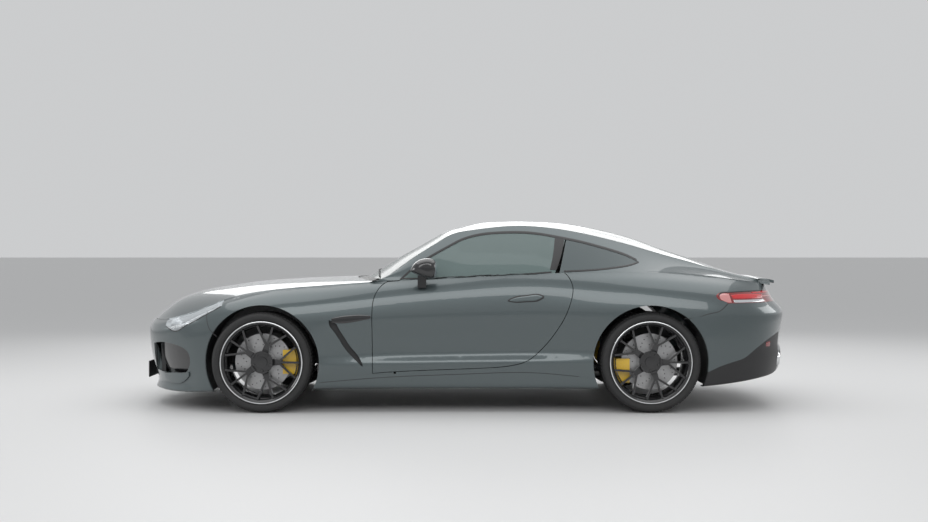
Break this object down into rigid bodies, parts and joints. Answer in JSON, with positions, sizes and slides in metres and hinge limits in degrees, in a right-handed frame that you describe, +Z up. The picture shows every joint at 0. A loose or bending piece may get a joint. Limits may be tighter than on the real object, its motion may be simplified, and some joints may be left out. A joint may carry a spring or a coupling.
{
  "type": "coupe car",
  "caption": "Low two-door coupe car with a long bonnet, sloping roof and tailgate, wide arches and large spoked wheels; doors, bonnet and tailgate open, front wheels steer.",
  "frame": {"origin": "on the ground under the middle of the car's length and width", "axes": "+X towards the car's rear, +Y towards the car's right, +Z up"},
  "size_m": [4.7242, 2.116, 1.3539],
  "materials": {
    "paint": "gloss metallic",
    "black_trim": "gloss",
    "glazing": "clear",
    "lamp_cover": "clear",
    "lamp_inside": "satin",
    "tail_lamp": "gloss",
    "structure": "satin",
    "liner": "matt",
    "casting": "cast",
    "steel": "brushed",
    "upholstery": "grained",
    "cabin_plastic": "matt",
    "caliper": "gloss",
    "disc": "machined",
    "rim": "satin with a bright lip",
    "tyre": "matt"
  },
  "bodies": {
    "car": {"floor_pan": "structure", "body_side_left": "paint", "body_side_right": "paint", "roof_panel": "paint", "front_fenders": "paint", "front_bumper": "paint", "front_grille": "black_trim", "cowl_panel": "black_trim", "rear_bumper": "paint", "rear_diffuser": "black_trim", "side_skirts": "paint", "windscreen": "glazing", "quarter_glass": "glazing", "headlamp_lenses": "lamp_cover", "headlamp_units": "lamp_inside", "tail_lamps": "tail_lamp", "engine_block": "casting", "dashboard": "cabin_plastic", "steering_wheel": "cabin_plastic", "front_seats": "upholstery", "rear_seat": "upholstery", "exhaust_system": "steel", "front_suspension": "casting", "rear_suspension": "casting", "rear_calipers": "caliper", "wheel_arch_liners": "liner"},
    "bonnet": {"bonnet": "paint"},
    "tailgate": {"tailgate": "paint", "rear_glass": "glazing"},
    "door_left": {"door_left": "paint", "door_glass_left": "glazing", "door_mirror_left": "black_trim"},
    "knuckle_front_left": {"knuckle_front_left": "casting", "caliper_front_left": "caliper"},
    "door_right": {"door_right": "paint", "door_glass_right": "glazing", "door_mirror_right": "black_trim"},
    "knuckle_front_right": {"knuckle_front_right": "casting", "caliper_front_right": "caliper"},
    "wheel_front_left": {"tyre_front_left": "tyre", "rim_front_left": "rim", "brake_disc_front_left": "disc"},
    "wheel_front_right": {"tyre_front_right": "tyre", "rim_front_right": "rim", "brake_disc_front_right": "disc"},
    "wheel_rear_left": {"tyre_rear_left": "tyre", "rim_rear_left": "rim", "brake_disc_rear_left": "disc"},
    "wheel_rear_right": {"tyre_rear_right": "tyre", "rim_rear_right": "rim", "brake_disc_rear_right": "disc"}
  },
  "joints": [
    {"name": "door_left_hinge", "type": "hinge", "parent": "car", "child": "door_left", "pos_m": [-0.525, -0.918, 0.5], "axis": [0, 0, -1], "range_deg": [0, 62]},
    {"name": "door_right_hinge", "type": "hinge", "parent": "car", "child": "door_right", "pos_m": [-0.525, 0.918, 0.5], "axis": [0, 0, 1], "range_deg": [0, 62]},
    {"name": "bonnet_hinge", "type": "hinge", "parent": "car", "child": "bonnet", "pos_m": [-0.6282, 0, 0.89701], "axis": [0, 1, 0], "range_deg": [0, 50]},
    {"name": "tailgate_hinge", "type": "hinge", "parent": "car", "child": "tailgate", "pos_m": [0.823, 0, 1.30232], "axis": [0, -1, 0], "range_deg": [0, 68]},
    {"name": "steer_left", "type": "hinge", "parent": "car", "child": "knuckle_front_left", "pos_m": [-1.404, -0.8, 0.35], "axis": [0, 0, 1], "range_deg": [-30, 30]},
    {"name": "steer_right", "type": "hinge", "parent": "car", "child": "knuckle_front_right", "pos_m": [-1.404, 0.8, 0.35], "axis": [0, 0, 1], "range_deg": [-30, 30]},
    {"name": "wheel_front_left_spin", "type": "hinge", "parent": "knuckle_front_left", "child": "wheel_front_left", "pos_m": [-1.404, -0.83, 0.35], "axis": [0, 1, 0], "continuous": true},
    {"name": "wheel_rear_left_spin", "type": "hinge", "parent": "car", "child": "wheel_rear_left", "pos_m": [1.296, -0.828, 0.35], "axis": [0, 1, 0], "continuous": true},
    {"name": "wheel_front_right_spin", "type": "hinge", "parent": "knuckle_front_right", "child": "wheel_front_right", "pos_m": [-1.404, 0.83, 0.35], "axis": [0, 1, 0], "continuous": true},
    {"name": "wheel_rear_right_spin", "type": "hinge", "parent": "car", "child": "wheel_rear_right", "pos_m": [1.296, 0.828, 0.35], "axis": [0, 1, 0], "continuous": true}
  ],
  "couplings": [
    {"joint": "steer_right", "follows": "steer_left", "ratio": 1}
  ]
}
